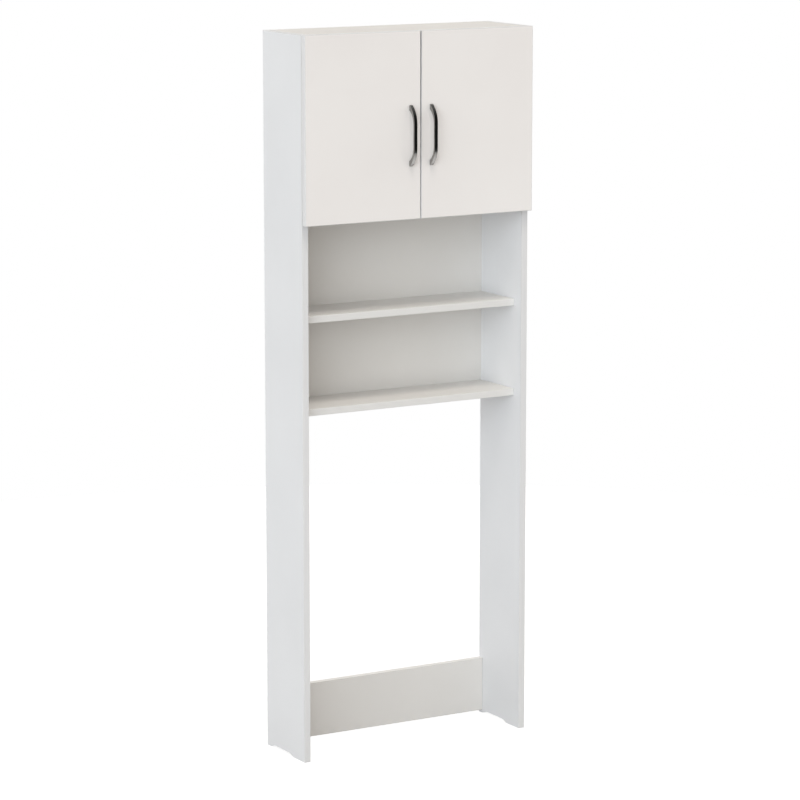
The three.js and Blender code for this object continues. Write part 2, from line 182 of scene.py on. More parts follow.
def melamine(name, light, shade):
    """Melamine-faced board: a fine pearl emboss, faint cloudiness and a satin gloss."""
    made, kit, place, shader = new_material(name, light)
    clouds = kit.noise(place, 3.5, 4.0)
    speck = kit.noise(place, 900.0, 2.0)
    tone = kit.within(clouds, 0.0, 0.8)
    kit.put(shader.inputs["Base Color"], kit.blend(tone, light, shade))
    kit.put(shader.inputs["Roughness"], kit.within(kit.noise(place, 60.0, 5.0), 0.38, 0.5))
    shader.inputs["Specular IOR Level"].default_value = 0.42
    pearl = kit.add("ShaderNodeTexVoronoi", {"feature": "SMOOTH_F1"}, Vector=place, Scale=1500.0)
    emboss = kit.bump(kit.math("ADD", pearl.outputs[0], speck), 0.012 * MM)
    waves = kit.bump(kit.noise(place, 14.0, 2.0), 0.12 * MM, emboss)
    kit.put(shader.inputs["Normal"], waves)
    return made


def edge_band(name, light, shade, along):
    """Plastic edge band: smoother than the board face, with faint scraper lines along it."""
    made, kit, place, shader = new_material(name, light)
    lines = kit.noise(kit.stretched(place, along), 1.0, 4.0, 0.6)
    kit.put(shader.inputs["Base Color"], kit.blend(kit.within(lines, 0.0, 1.0), light, shade))
    kit.put(shader.inputs["Roughness"], kit.within(lines, 0.3, 0.42))
    kit.put(shader.inputs["Normal"], kit.bump(lines, 0.01 * MM))
    return made


def glue_line():
    """The dull seam where an edge band meets the board face."""
    made, kit, place, shader = new_material("glue_line", rgb(196, 192, 184))
    dirt = kit.noise(place, 240.0, 4.0)
    kit.put(shader.inputs["Base Color"], kit.blend(dirt, rgb(186, 181, 172), rgb(214, 211, 205)))
    shader.inputs["Roughness"].default_value = 0.8
    kit.put(shader.inputs["Normal"], kit.bump(dirt, 0.04 * MM))
    return made


def raw_chipboard():
    """The bare core of particle board: small pale and brown flakes with pores."""
    made, kit, place, shader = new_material("raw_chipboard", rgb(196, 170, 130))
    grain = kit.stretched(place, (1, 1, 0.45))
    flakes = kit.add("ShaderNodeTexVoronoi", Vector=grain, Scale=620.0)
    tone = kit.add("ShaderNodeSeparateColor", Color=flakes.outputs["Color"]).outputs[0]
    warm = kit.blend(tone, rgb(170, 138, 98), rgb(214, 190, 150))
    pores = kit.spread(kit.noise(place, 1100.0, 3.0), 0.36, 0.44, 0.0, 1.0)
    kit.put(shader.inputs["Base Color"], kit.blend(pores, rgb(112, 86, 56), warm))
    shader.inputs["Roughness"].default_value = 0.9
    kit.put(shader.inputs["Normal"], kit.bump(kit.math("MULTIPLY", tone, pores), 0.25 * MM))
    return made


def lacquered_hardboard():
    """The white face of the thin back panel: lacquer with a slight roller texture."""
    made, kit, place, shader = new_material("lacquered_hardboard", rgb(228, 226, 222))
    roller = kit.noise(kit.stretched(place, (1.0, 1.0, 0.35)), 420.0, 4.0, 0.6)
    clouds = kit.noise(place, 5.0, 3.0)
    kit.put(shader.inputs["Base Color"], kit.blend(clouds, rgb(224, 221, 216), rgb(231, 229, 226)))
    kit.put(shader.inputs["Roughness"], kit.within(roller, 0.48, 0.62))
    kit.put(shader.inputs["Normal"], kit.bump(roller, 0.03 * MM))
    return made


def raw_hardboard():
    """The bare brown face of hardboard: dense fibre with darker flecks."""
    made, kit, place, shader = new_material("raw_hardboard", rgb(142, 106, 72))
    fibre = kit.noise(kit.stretched(place, (1.0, 1.0, 0.4)), 500.0, 6.0, 0.7)
    clouds = kit.noise(place, 4.0, 4.0)
    base = kit.blend(clouds, rgb(132, 97, 65), rgb(156, 119, 82))
    flecks = kit.spread(fibre, 0.34, 0.46, 0.0, 1.0)
    kit.put(shader.inputs["Base Color"], kit.blend(flecks, rgb(92, 65, 42), base))
    kit.put(shader.inputs["Roughness"], kit.within(fibre, 0.62, 0.8))
    kit.put(shader.inputs["Normal"], kit.bump(fibre, 0.06 * MM))
    return made


def metal(name, dark, light, gloss, grain, relief, stretch=(1.0, 1.0, 1.0), metallic=1.0):
    """A metal finish: colour between dark and light, roughness between the two gloss values."""
    made, kit, place, shader = new_material(name, light)
    marks = kit.noise(kit.stretched(place, stretch), grain, 5.0, 0.6)
    kit.put(shader.inputs["Base Color"], kit.blend(kit.within(marks, 0.0, 1.0), dark, light))
    kit.put(shader.inputs["Roughness"], kit.within(marks, *gloss))
    shader.inputs["Metallic"].default_value = metallic
    kit.put(shader.inputs["Normal"], kit.bump(marks, relief))
    return made


def moulded(name, dark, light, gloss, transmission=0.0):
    """A moulded plastic or rubber with a faint skin texture."""
    made, kit, place, shader = new_material(name, light)
    skin = kit.noise(place, 1400.0, 3.0)
    kit.put(shader.inputs["Base Color"], kit.blend(kit.noise(place, 80.0, 3.0), dark, light))
    kit.put(shader.inputs["Roughness"], kit.within(skin, *gloss))
    shader.inputs["Transmission Weight"].default_value = transmission
    kit.put(shader.inputs["Normal"], kit.bump(skin, 0.02 * MM))
    return made


BOARD_WHITE = melamine("board_melamine", rgb(235, 236, 238), rgb(229, 230, 232))
# warmer like the doors, and darker than the board white: the darkening is painted shade for the
# level boards
SHADED_LEVEL_WHITE = melamine("level_board_melamine_painted_shade", rgb(230, 228, 225), rgb(224, 222, 219))
DOOR_WHITE = melamine("door_melamine", rgb(244, 241, 239), rgb(239, 235, 233))
BAND_ALONG_Z = edge_band(
    "edge_band_upright", rgb(232, 232, 233), rgb(225, 225, 226), (900, 900, 12)
)
BAND_ALONG_X = edge_band(
    "edge_band_level", rgb(234, 233, 231), rgb(227, 226, 224), (12, 900, 900)
)
GLUE = glue_line()
CHIPBOARD = raw_chipboard()
BACK_WHITE = lacquered_hardboard()
BACK_BROWN = raw_hardboard()
BLACK_CHROME = metal(
    "black_chrome", rgb(148, 147, 145), rgb(158, 157, 155), (0.1, 0.17),
    grain=700.0, relief=0.002 * MM,
)
NICKEL = metal(
    "nickel_plate", rgb(204, 202, 198), rgb(224, 222, 218), (0.24, 0.38),
    grain=300.0, relief=0.01 * MM, stretch=(1.0, 0.12, 1.0), metallic=0.75,
)
ZINC = metal(
    "zinc_plate", rgb(172, 175, 180), rgb(204, 206, 208), (0.38, 0.55),
    grain=260.0, relief=0.02 * MM, metallic=0.75,
)
# painted shade: a dark metal for the crosses that stand for the shade in cross recesses, which are
# not cut
PAINTED_RECESS_SHADE = metal(
    "screw_recess_painted_shade", rgb(52, 52, 54), rgb(78, 78, 80), (0.5, 0.7),
    grain=400.0, relief=0.02 * MM,
)
NYLON = moulded("nylon", rgb(222, 222, 219), rgb(236, 236, 233), (0.4, 0.5))
BUMPER_GEL = moulded(
    "bumper_gel", rgb(222, 224, 224), rgb(236, 237, 237), (0.25, 0.35), transmission=0.6
)

# --------------------------------------------------------------------------------- mesh helpers


def as_object(name, bm, materials, sharp=40.0):
    """Turns a bmesh into a scene object, smooth but for edges that turn more than sharp degrees."""
    mesh = bpy.data.meshes.new(name)
    bmesh.ops.recalc_face_normals(bm, faces=bm.faces)
    bm.to_mesh(mesh)
    bm.free()
    for material in materials:
        mesh.materials.append(material)
    mesh.polygons.foreach_set("use_smooth", [True] * len(mesh.polygons))
    mesh.set_sharp_from_angle(angle=math.radians(sharp))
    made = bpy.data.objects.new(name, mesh)
    bpy.context.scene.collection.objects.link(made)
    weighted = made.modifiers.new("even_normals", "WEIGHTED_NORMAL")
    weighted.keep_sharp = True
    return made


def settle(piece, body, slot, *nodes):
    """Puts a piece on its body and lets it stand for CAD nodes; slot, the name of its finish, is
    not used.
    """
    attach(piece, body)
    if nodes:
        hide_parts(*nodes)


def in_mm(pairs):
    """Pairs of measures, from millimetres to metres."""
    return [(first * MM, second * MM) for first, second in pairs]


def arc(first, last, steps):
    """Evenly spaced angles in radians, from first to last in degrees."""
    return [math.radians(first + (last - first) * step / steps) for step in range(steps + 1)]


def ease(bm, edges, width, clamp=False):
    """Rounds edges off; clamp narrows the rounding where it would run into another."""
    bmesh.ops.bevel(
        bm, geom=edges, offset=width, segments=2, profile=0.5, affect="EDGES", clamp_overlap=clamp
    )


def turned(bm, profile, origin, axis, steps):
    """A solid of revolution; the profile is [(radius, height along axis)], from axis to axis."""
    along = Vector(axis).normalized()
    across = along.orthogonal().normalized()
    rings = []
    for radius, height in profile:
        centre = Vector(origin) + along * height
        if radius == 0:
            rings.append([bm.verts.new(centre)])
            continue
        ring = []
        for step in range(steps):
            arm = Matrix.Rotation(2 * math.pi * step / steps, 3, along) @ across
            ring.append(bm.verts.new(centre + arm * radius))
        rings.append(ring)
    for lower, upper in zip(rings, rings[1:]):
        for step in range(steps):
            following = (step + 1) % steps
            corners = [lower[step % len(lower)], lower[following % len(lower)]]
            corners += [upper[following % len(upper)], upper[step % len(upper)]]
            unique = list(dict.fromkeys(corners))
            if len(unique) > 2:
                bm.faces.new(unique)


def loft(bm, rings):
    """Joins closed rings of equal length into a tube with filled ends."""
    rows = [[bm.verts.new(point) for point in ring] for ring in rings]
    count = len(rows[0])
    for lower, upper in zip(rows, rows[1:]):
        for step in range(count):
            following = (step + 1) % count
            bm.faces.new((lower[step], lower[following], upper[following], upper[step]))
    bm.faces.new(rows[0])
    bm.faces.new(rows[-1][::-1])


def prism(bm, outline, low, high, direction, material=0):
    """A plate: a closed outline of points, pushed from low to high along a direction."""
    start = [bm.verts.new(Vector(point) + direction * low) for point in outline]
    base = bm.faces.new(start)
    base.material_index = material
    pushed = bmesh.ops.extrude_face_region(bm, geom=[base])["geom"]
    moved = [item for item in pushed if isinstance(item, bmesh.types.BMVert)]
    bmesh.ops.translate(bm, verts=moved, vec=direction * (high - low))


def bezier(points, steps):
    """Points along a cubic curve given by its four control points."""
    a, b, c, d = (Vector(point) for point in points)
    found = []
    for step in range(steps + 1):
        t = step / steps
        left = 1 - t
        found.append(left ** 3 * a + 3 * left ** 2 * t * b + 3 * left * t ** 2 * c + t ** 3 * d)
    return found


def inwards_from(side):
    """The sign of the x direction from a side panel to the middle."""
    return 1 if side == "left" else -1


def centre_of(node):
    low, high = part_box(node)
    return (low + high) / 2


# ------------------------------------------------------------------------------------------ boards

EDGE_ROUND = 0.7 * MM
BAND = 1.0 * MM  # thickness of the edge band
GLUE_LINE = 0.25 * MM
FOOT_RELIEF = 10 * MM  # the side panels' undersides are curved below this height
SAME_POINT = 0.002 * MM
ON_PLANE = 0.01 * MM  # a point this close to a plane lies on it
FLAT_TURN = math.radians(0.5)  # faces that turn less than this are one flat face
SHARP_TURN = math.radians(50)  # an edge that turns at least this far is eased
ON_FACE, ON_BAND, ON_GLUE, ON_CORE = range(4)  # a board's materials
FRONT_SIDE, REAR_SIDE = (1, 0), (1, 1)
BOTTOM_SIDE, TOP_SIDE = (2, 0), (2, 1)
LEFT_SIDE, RIGHT_SIDE = (0, 0), (0, 1)


def clean_copy(node):
    """The CAD solid as a bmesh with its flat faces whole."""
    bm = bmesh.new()
    bm.from_mesh(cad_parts[node].data)
    bmesh.ops.remove_doubles(bm, verts=bm.verts, dist=SAME_POINT)
    bmesh.ops.dissolve_limit(bm, angle_limit=FLAT_TURN, verts=bm.verts, edges=bm.edges)
    return bm


def turns_sharply(edge):
    return len(edge.link_faces) == 2 and edge.calc_face_angle(0) >= SHARP_TURN


def planes_met(point, low, high):
    """How many of the box's six planes a point lies on."""
    return sum(
        abs(point[axis] - corner[axis]) < ON_PLANE for axis in range(3) for corner in (low, high)
    )


def board(node, name, slot, body, face, band, banded, raw=(), foot=0.0):
    """A board as its CAD solid with eased outer edges, some sides banded and some bare core.

    banded and raw name sides as (axis, which), such as (1, 0) for the low side in y.
    Edges under the height foot are eased too, where the outline isn't straight.
    """
    low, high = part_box(node)
    bm = clean_copy(node)
    for axis, which in banded:
        corner = (low, high)[which]
        inwards = -1 if which else 1
        for depth in (BAND, BAND + GLUE_LINE):
            cut = corner.copy()
            cut[axis] += inwards * depth
            normal = Vector((0, 0, 0))
            normal[axis] = 1
            whole = bm.verts[:] + bm.edges[:] + bm.faces[:]
            bmesh.ops.bisect_plane(bm, geom=whole, plane_co=cut, plane_no=normal)
    rims = []
    for edge in filter(turns_sharply, bm.edges):
        middle = (edge.verts[0].co + edge.verts[1].co) / 2
        met = planes_met(middle, low, high)
        if met >= 2 or (met and middle.z < foot):
            rims.append(edge)
    ease(bm, rims, EDGE_ROUND)
    for part in bm.faces:
        middle = part.calc_center_median()
        part.material_index = ON_FACE
        for axis, which in banded:
            depth = abs(middle[axis] - (low, high)[which][axis])
            if depth < BAND:
                part.material_index = ON_BAND
            elif depth < BAND + GLUE_LINE and part.material_index == ON_FACE:
                part.material_index = ON_GLUE
        for axis, which in raw:
            if abs(middle[axis] - (low, high)[which][axis]) < 2 * ON_PLANE:
                part.material_index = ON_CORE
    piece = as_object(name, bm, (face, band, GLUE, CHIPBOARD))
    settle(piece, body, slot, node)


def make_boards():
    for side in SIDES:
        board(
            f"{side}_side_panel", f"{side}_upright", "white_melamine", "carcass",
            BOARD_WHITE, BAND_ALONG_Z, (FRONT_SIDE, TOP_SIDE), (REAR_SIDE,), FOOT_RELIEF,
        )
        board(
            f"{side}_door", f"{side}_door_leaf", "door_melamine", f"{side}_door",
            DOOR_WHITE, BAND_ALONG_Z, (LEFT_SIDE, RIGHT_SIDE, BOTTOM_SIDE, TOP_SIDE),
        )
    # the level boards get the white with painted shade
    for node in (*FIXED_BOARDS, "inner_shelf"):
        board(
            node, f"{node}_board", "white_melamine", "carcass",
            SHADED_LEVEL_WHITE, BAND_ALONG_X, (FRONT_SIDE,), (REAR_SIDE,),
        )
    # the stretcher gets the white with painted shade too
    board(
        "rear_stretcher", "rear_stretcher_board", "white_melamine", "carcass",
        SHADED_LEVEL_WHITE, BAND_ALONG_X, (BOTTOM_SIDE, TOP_SIDE),
    )


SHEET_EASE = 0.15 * MM
LACQUER_DEPTH = 0.5 * MM  # faces within this of the sheet's front are lacquered
NAIL_ROOM = 0.3 * MM  # for the nails' heads, behind the sheet
NAIL_FOOT = 1 * MM  # how deep a nail's profile starts in the sheet
NAIL_PROFILE = ((0, 0), (1.6, 0), (2.1, 1.0), (2.1, 1.2), (1.9, 1.28), (0, 1.28))
NAIL_STEPS = 14
NAIL_COLUMNS = 7
NAIL_INSET = 4 * MM
NAIL_STRAY_X, NAIL_STRAY_Z = 1 * MM, 1.5 * MM


def make_back_panel():
    """Thin hardboard, white inside and bare behind."""
    low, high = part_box("back_panel")
    high.y -= NAIL_ROOM
    bm = bmesh.new()
    matrix = Matrix.Translation((low + high) / 2) @ Matrix.Diagonal((*(high - low), 1))
    bmesh.ops.create_cube(bm, size=1.0, matrix=matrix)
    ease(bm, bm.edges[:], SHEET_EASE)
    for part in bm.faces:
        part.material_index = int(part.calc_center_median().y > low.y + LACQUER_DEPTH)
    panel = as_object("back_panel_sheet", bm, (BACK_WHITE, BACK_BROWN))
    settle(panel, "carcass", "white_hardboard", "back_panel")


def make_nails():
    """The back panel's nails: a row into each level board, and one at each side between them."""
    low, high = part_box("back_panel")
    left, right = low.x + NAIL_INSET, high.x - NAIL_INSET
    rows = [centre_of(node).z for node in FIXED_BOARDS]
    places = [
        (left + (right - left) * step / (NAIL_COLUMNS - 1), z)
        for z in rows for step in range(NAIL_COLUMNS)
    ]
    for lower, upper in zip(rows, rows[1:]):
        between = (lower + upper) / 2
        places += [(left, between), (right, between)]
    foot_y = high.y - NAIL_ROOM - NAIL_FOOT
    draw = random.Random(7)
    bm = bmesh.new()
    for x, z in places:
        aside = draw.uniform(-NAIL_STRAY_X, NAIL_STRAY_X)
        rise = draw.uniform(-NAIL_STRAY_Z, NAIL_STRAY_Z)
        turned(bm, in_mm(NAIL_PROFILE), (x + aside, foot_y, z + rise), Y, NAIL_STEPS)
    settle(as_object("back_panel_nails", bm, (ZINC,)), "carcass", "zinc_fittings")


# ----------------------------------------------------------------------------------------- handles

# The edges of a bow near its tip, seen from its side, as (out of the door, in from the tip) in mm:
# a lip on the door, the first two control points of the curve that leaves it, and how far in the
# curve's last two lie, at full reach.
OUTER_EDGE = {"lip": ((0, 0.4), (1.4, 0.1)), "curve": ((3, 0.3), (11, 8)), "grip": (20, 44)}
INNER_EDGE = {"lip": ((0, 13), (1.2, 13.6)), "curve": ((2, 14), (7, 18)), "grip": (26, 46)}
HANDLE_THICK = 7 * MM
TIP_NARROWING = 0.1  # share of the width that is lost at the tips
MIDDLE_CORNER, TIP_CORNER = 3.0, 8.0  # the section's exponent: 2 is an ellipse, more is squarer
CURVE_STEPS = 16
RING_STEPS = 28
HANDLE_SHARP = 60  # degrees


def handle_ring(outer, inner, half_width, corner, door_y, centre):
    """One section of the bow: a rounded oblong from the inner to the outer point."""
    middle, arm = (outer + inner) / 2, (outer - inner) / 2
    squareness = 2 / corner
    ring = []
    for step in range(RING_STEPS):
        angle = 2 * math.pi * step / RING_STEPS
        c, s = math.cos(angle), math.sin(angle)
        u = math.copysign(abs(c) ** squareness, c)
        v = math.copysign(abs(s) ** squareness, s)
        out, up = middle + arm * u
        ring.append(Vector((centre.x + v * half_width, door_y - out, centre.z + up)))
    return ring


def bow_edge(edge, reach, tip):
    """One edge of the bow, from tip to tip, as points (out of the door, up from the middle)."""
    half = [Vector(point) * MM for point in edge["lip"]]
    leaving = [Vector(point) * MM for point in edge["curve"]]
    arriving = [Vector((reach, along * MM)) for along in edge["grip"]]
    half += bezier(leaving + arriving, CURVE_STEPS)
    lower = [point - Vector((0, tip)) for point in half]
    upper = [point * Vector((1, -1)) for point in reversed(lower)]
    return [*lower, Vector((reach, 0)), *upper]


def make_handle(side):
    """A bow handle lofted from foot to foot, a little wider in the middle."""
    low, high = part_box(f"{side}_handle")
    centre, reach, tip = (low + high) / 2, high.y - low.y, (high.z - low.z) / 2
    outer_edge = bow_edge(OUTER_EDGE, reach, tip)
    inner_edge = bow_edge(INNER_EDGE, reach - HANDLE_THICK, tip)
    half_width = (high.x - low.x) / 2
    rings = []
    for outer, inner in zip(outer_edge, inner_edge):
        along = abs(outer.y) / tip
        width = half_width * (1 - TIP_NARROWING * along ** 2)
        corner = MIDDLE_CORNER + (TIP_CORNER - MIDDLE_CORNER) * along ** 3
        rings.append(handle_ring(outer, inner, width, corner, high.y, centre))
    bm = bmesh.new()
    loft(bm, rings)
    piece = as_object(f"{side}_bow_handle", bm, (BLACK_CHROME,), HANDLE_SHARP)
    settle(piece, f"{side}_door", "black_chrome", f"{side}_handle")


# ------------------------------------------------------------------------------ screws and bumpers

RECESS_SHADE_INDEX = 1  # the painted shade of the cross recesses is the second material of every piece that has a cross in it
# thickness of the bars of painted recess shade
SHADE_BAR_THICK = 0.06 * MM
BAR_SLENDERNESS = 0.2  # half width of a bar of painted recess shade over its half length

# A screw's head, as shares of its radius or its height
HEAD_SEAT = 0.96  # radius of the underside
HEAD_EASE = 0.12  # height of the rim's eased lower edge
HEAD_RIM = 0.35  # height where the dome starts
CROSS_LEVEL, CROSS_REACH = 0.97, 0.5  # of the head's height and radius
SCREW_STEPS = 28

HANDLE_SCREW_HEAD = 2.2 * MM
HANDLE_SCREW_SHANK = ((0, 0), (1.5, 0), (2.0, 0.5), (2.0, 21.2), (0, 21.2))
SHANK_STEPS = 20
BUMPER_FULLNESS = 0.6  # 1 is a round dome, and less is fuller
BUMPER_STEPS = 32


def painted_cross_shade(bm, origin, axis, size):
    """Painted shade for the cross recess in a screw's head: two thin dark bars that stand just
    proud of it, where the real head has a hollow.
    """
    along = Vector(axis).normalized()
    across = along.orthogonal().normalized()
    for turn in (45, 135):
        arm = Matrix.Rotation(math.radians(turn), 3, along) @ across
        side = along.cross(arm)
        corners = [
            Vector(origin) + arm * size * a + side * size * BAR_SLENDERNESS * b
            for a, b in ((-1, -1), (1, -1), (1, 1), (-1, 1))
        ]
        prism(bm, corners, 0.0, SHADE_BAR_THICK, along, RECESS_SHADE_INDEX)


def screw_head(bm, origin, axis, radius, height):
    """A domed head with a rounded rim and a cross of painted shade for its recess; origin is the
    middle of its seat.
    """
    dome = [(0, 0), (radius * HEAD_SEAT, 0)]
    dome += [(radius, height * HEAD_EASE), (radius, height * HEAD_RIM)]
    dome += [
        (radius * math.cos(angle), height * (HEAD_RIM + (1 - HEAD_RIM) * math.sin(angle)))
        for angle in arc(15, 75, 4)
    ]
    dome += [(0, height)]
    turned(bm, dome, origin, axis, SCREW_STEPS)
    # the cross is painted shade for the head's recess
    painted_cross_shade(bm, Vector(origin) + axis * height * CROSS_LEVEL, axis, radius * CROSS_REACH)


def make_handle_screw(side, level):
    """A machine screw with a domed head on the door's inner face."""
    node = f"{side}_{level}_handle_screw"
    low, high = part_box(node)
    middle, radius = (low + high) / 2, (high.x - low.x) / 2
    seat = (middle.x, high.y - HANDLE_SCREW_HEAD, middle.z)
    bm = bmesh.new()
    screw_head(bm, seat, Y, radius, HANDLE_SCREW_HEAD)
    turned(bm, in_mm(HANDLE_SCREW_SHANK), (middle.x, low.y, middle.z), Y, SHANK_STEPS)
    piece = as_object(f"{node}_body", bm, (ZINC, PAINTED_RECESS_SHADE))
    settle(piece, f"{side}_door", "zinc_fittings", node)


def make_bumper(side, level):
    """A soft clear dot on the door's inner face."""
    node = f"{side}_{level}_door_bumper"
    low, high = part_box(node)
    middle, thick, radius = (low + high) / 2, high.y - low.y, (high.x - low.x) / 2
    dome = [(0, 0), (radius, 0)]
    dome += [
        (radius * math.cos(angle) ** BUMPER_FULLNESS, thick * math.sin(angle))
        for angle in arc(12, 72, 5)
    ]
    dome += [(0, thick)]
    bm = bmesh.new()
    turned(bm, dome, (middle.x, low.y, middle.z), Y, BUMPER_STEPS)
    settle(as_object(f"{node}_dot", bm, (BUMPER_GEL,)), f"{side}_door", "door_bumpers", node)


# ------------------------------------------------------------------------------------------ hinges

CUP_RADIUS = 17.5 * MM
CUP_RIM = 18.3 * MM  # radius of the rolled rim
CUP_WALL = 1.2 * MM
CUP_SHEET = 0.8 * MM  # thickness of the rim and the flange
CUP_MOUTH_EASE = 0.4 * MM
CUP_STEPS = 64
# The cup's rounded corners, as (back from the wall, up from the corner's lower face) in mm
OUTER_CORNER = ((1.5, 0), (0.4, 0.4), (0, 1.5))
RIM_CORNER = ((0.2, 0), (0, 0.4), (0.3, 0.8))
INNER_CORNER = ((0, 1.0), (0.4, 0.3), (1.4, 0))

WING_OFFSET = 9.5 * MM  # of a wing's middle line from the cup's middle
WING_HALF = 6 * MM
WING_ROOT = CUP_RADIUS - 0.3 * MM  # radius of a wing's inner end, under the cup's rim
WING_TOP = 0.05 * MM  # depth of a wing's face below the rim's
WING_SCREW_RISE = 22.5 * MM
WING_SCREW_SINK = 0.3 * MM
WING_SCREW_HEAD = (3.4 * MM, 0.28 * MM)  # radius and height, as for the other heads below

# The arm's and the plate's screws: inwards from the rack's side, and back from the arm's nose
ARM_LENGTH = 62 * MM
ARM_WEB = 27.5 * MM
ARM_SCREWS_BACK = (30 * MM, 50 * MM)
ARM_SCREW_HEAD = (3.1 * MM, 1.6 * MM)
PLATE_WING = 18.3 * MM
PLATE_SCREWS_BACK = 37 * MM
PLATE_SCREWS_RISE = 16 * MM
PLATE_SCREW_HEAD = (4.0 * MM, 1.8 * MM)


def cup_centre(side, low, high):
    """The middle of a cup's mouth, in the plane of the door's inner face."""
    outer_x = low.x if side == "left" else high.x
    return Vector((outer_x + inwards_from(side) * CUP_RIM, high.y, (low.z + high.z) / 2))


def make_hinge_cup(side, level):
    """A pressed cup with a rolled rim."""
    node = f"{side}_{level}_hinge_cup"
    low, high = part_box(node)
    inner = CUP_RADIUS - CUP_WALL
    deep = high.y - low.y
    profile = [(0, -deep)]
    profile += [(CUP_RADIUS - back, up - deep) for back, up in in_mm(OUTER_CORNER)]
    profile += [(CUP_RADIUS, -CUP_SHEET)]
    profile += [(CUP_RIM - back, up - CUP_SHEET) for back, up in in_mm(RIM_CORNER)]
    profile += [(inner + CUP_MOUTH_EASE, 0), (inner, -CUP_MOUTH_EASE)]
    profile += [(inner - back, CUP_WALL + up - deep) for back, up in in_mm(INNER_CORNER)]
    profile += [(0, CUP_WALL - deep)]
    bm = bmesh.new()
    turned(bm, profile, cup_centre(side, low, high), Y, CUP_STEPS)
    cup = as_object(f"{node}_shell", bm, (NICKEL,))
    settle(cup, f"{side}_door", "hinge_steel", node)


def wing_outline(half_length):
    """A flange's wing as (across, up) from the cup's middle: a round tip, a root under the rim."""
    tip_level = half_length - WING_HALF
    tip = [
        (WING_OFFSET + WING_HALF * math.cos(turn), tip_level + WING_HALF * math.sin(turn))
        for turn in arc(0, 180, 12)
    ]
    first, last = (
        math.degrees(math.asin((WING_OFFSET + end * WING_HALF) / WING_ROOT)) for end in (-1, 1)
    )
    turns = arc(first, last, 8)
    return tip + [(WING_ROOT * math.sin(turn), WING_ROOT * math.cos(turn)) for turn in turns]


def make_hinge_flange(side, level):
    """The cup's two wings, each with a screw in it."""
    node = f"{side}_{level}_hinge_cup"
    low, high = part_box(node)
    inwards = inwards_from(side)
    centre = cup_centre(side, low, high)
    bm = bmesh.new()
    for sign in (-1, 1):
        outline = [
            Vector((centre.x + inwards * across, 0, centre.z + sign * up))
            for across, up in wing_outline((high.z - low.z) / 2)
        ]
        prism(bm, outline, high.y - CUP_SHEET, high.y - WING_TOP, Y)
        seat = Vector((inwards * WING_OFFSET, -WING_SCREW_SINK, sign * WING_SCREW_RISE))
        screw_head(bm, centre + seat, Y, *WING_SCREW_HEAD)
    piece = as_object(f"{node}_flange", bm, (NICKEL, PAINTED_RECESS_SHADE))
    settle(piece, f"{side}_door", "hinge_steel")


def eased_copy(node, name, width, body, slot, material):
    """A small CAD part with every sharp edge eased."""
    bm = clean_copy(node)
    ease(bm, list(filter(turns_sharply, bm.edges)), width, clamp=True)
    settle(as_object(name, bm, (material,)), body, slot, node)


def make_hinge(side, level):
    """A concealed hinge: cup and flange on the door, link on its own, the rest on the carcass."""
    stem = f"{side}_{level}_hinge"
    make_hinge_cup(side, level)
    make_hinge_flange(side, level)
    for part, form, width, body in (
        ("arm", "arm_pressing", 0.35 * MM, "carcass"),
        ("plate", "plate_casting", 0.4 * MM, "carcass"),
        ("link", "link_strap", 0.25 * MM, f"{side}_hinge_links"),
        ("link_pin", "rivet", 0.2 * MM, "carcass"),
    ):
        eased_copy(f"{stem}_{part}", f"{stem}_{form}", width, body, "hinge_steel", NICKEL)

    low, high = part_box(f"{stem}_arm")
    inwards = inwards_from(side)
    outer_x = cad_low.x if side == "left" else cad_high.x
    nose = Vector((outer_x, high.y - ARM_LENGTH, (low.z + high.z) / 2))
    bm = bmesh.new()
    for back in ARM_SCREWS_BACK:
        screw_head(bm, nose + Vector((inwards * ARM_WEB, back, 0)), X * inwards, *ARM_SCREW_HEAD)
    for rise in (-PLATE_SCREWS_RISE, PLATE_SCREWS_RISE):
        seat = nose + Vector((inwards * PLATE_WING, PLATE_SCREWS_BACK, rise))
        screw_head(bm, seat, X * inwards, *PLATE_SCREW_HEAD)
    settle(as_object(f"{stem}_screws", bm, (ZINC, PAINTED_RECESS_SHADE)), "carcass", "zinc_fittings")


# ---------------------------------------------------------------------------------- small fittings

# A cam: a raised rim round a dished face, and a body sunk in the board; heights run into the board
CAM_RADIUS = 7.5 * MM
CAM_PROFILE = (
    (0, 0.7), (5.6, 0.7), (5.9, 0.25), (6.9, 0.25), (7.3, 0.45), (7.5, 0.8), (7.5, 12), (0, 12),
)
CAM_STEPS = 40
CAM_CROSS = 3.6 * MM
CAM_CROSS_LEVEL = 0.72 * MM

BOLT_LEVEL = 8 * MM  # below the cam's face
BOLT_START = 7 * MM  # from the cam's axis
BOLT_RADIUS = 3 * MM
BOLT_CHAMFER = 0.6 * MM
BOLT_STEPS = 20

PIN_EASE = 0.3 * MM
BRACKET_EASE = 0.4 * MM
BRACKET_SCREW_OUT = 26 * MM  # from the wall
BRACKET_SHEET = 2 * MM
BRACKET_SCREW_HEAD = (4.2 * MM, 1.8 * MM)


